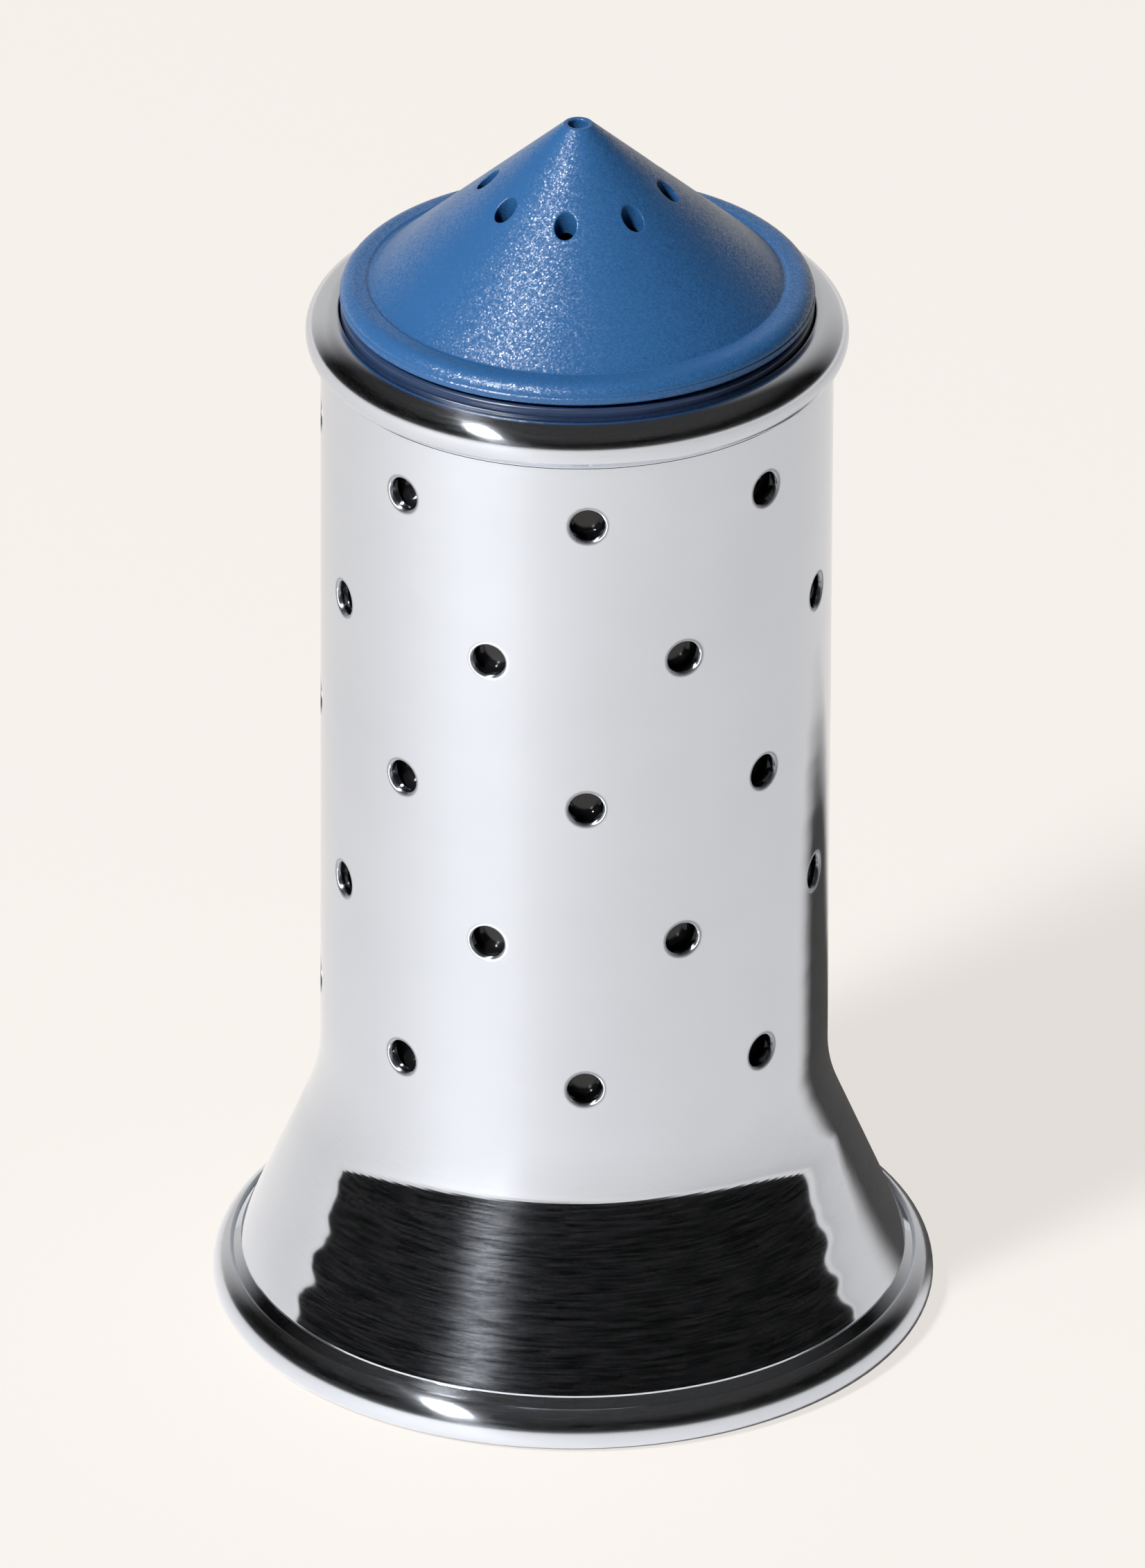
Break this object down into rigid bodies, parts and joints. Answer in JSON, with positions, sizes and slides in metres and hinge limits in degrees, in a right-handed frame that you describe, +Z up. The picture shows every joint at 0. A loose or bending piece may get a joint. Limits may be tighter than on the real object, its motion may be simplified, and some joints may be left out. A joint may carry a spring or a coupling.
{
  "type": "salt shaker",
  "caption": "Table salt shaker: pierced polished steel sleeve with rolled rim and flared foot, black salt cup inside, and a blue perforated cone lid that turns in its seat and lifts off.",
  "frame": {"origin": "middle of the foot, on the surface that the shaker stands on", "axes": "+Z up along the shaker's axis, through the hole in the lid's tip; -Y towards the column of holes that faces the viewer"},
  "size_m": [0.0556, 0.0556, 0.1],
  "materials": {
    "steel": "bright polish with fine rub marks",
    "lid_blue": "fine spark-eroded grain",
    "collar_blue": "satin",
    "cup_black": "gloss",
    "seal_black": "matte"
  },
  "bodies": {
    "shaker": {"steel_sleeve": "steel", "salt_cup": "cup_black", "collar_ring": "collar_blue"},
    "seal": {"lid_seal": "seal_black"},
    "lid": {"cone_lid": "lid_blue"}
  },
  "joints": [
    {"name": "lid_lift", "type": "slide", "parent": "shaker", "child": "seal", "axis": [0, 0, 1], "range_m": [0, 0.04]},
    {"name": "lid_turn", "type": "hinge", "parent": "seal", "child": "lid", "pos_m": [0, 0, 0.08525], "axis": [0, 0, 1], "continuous": true}
  ]
}
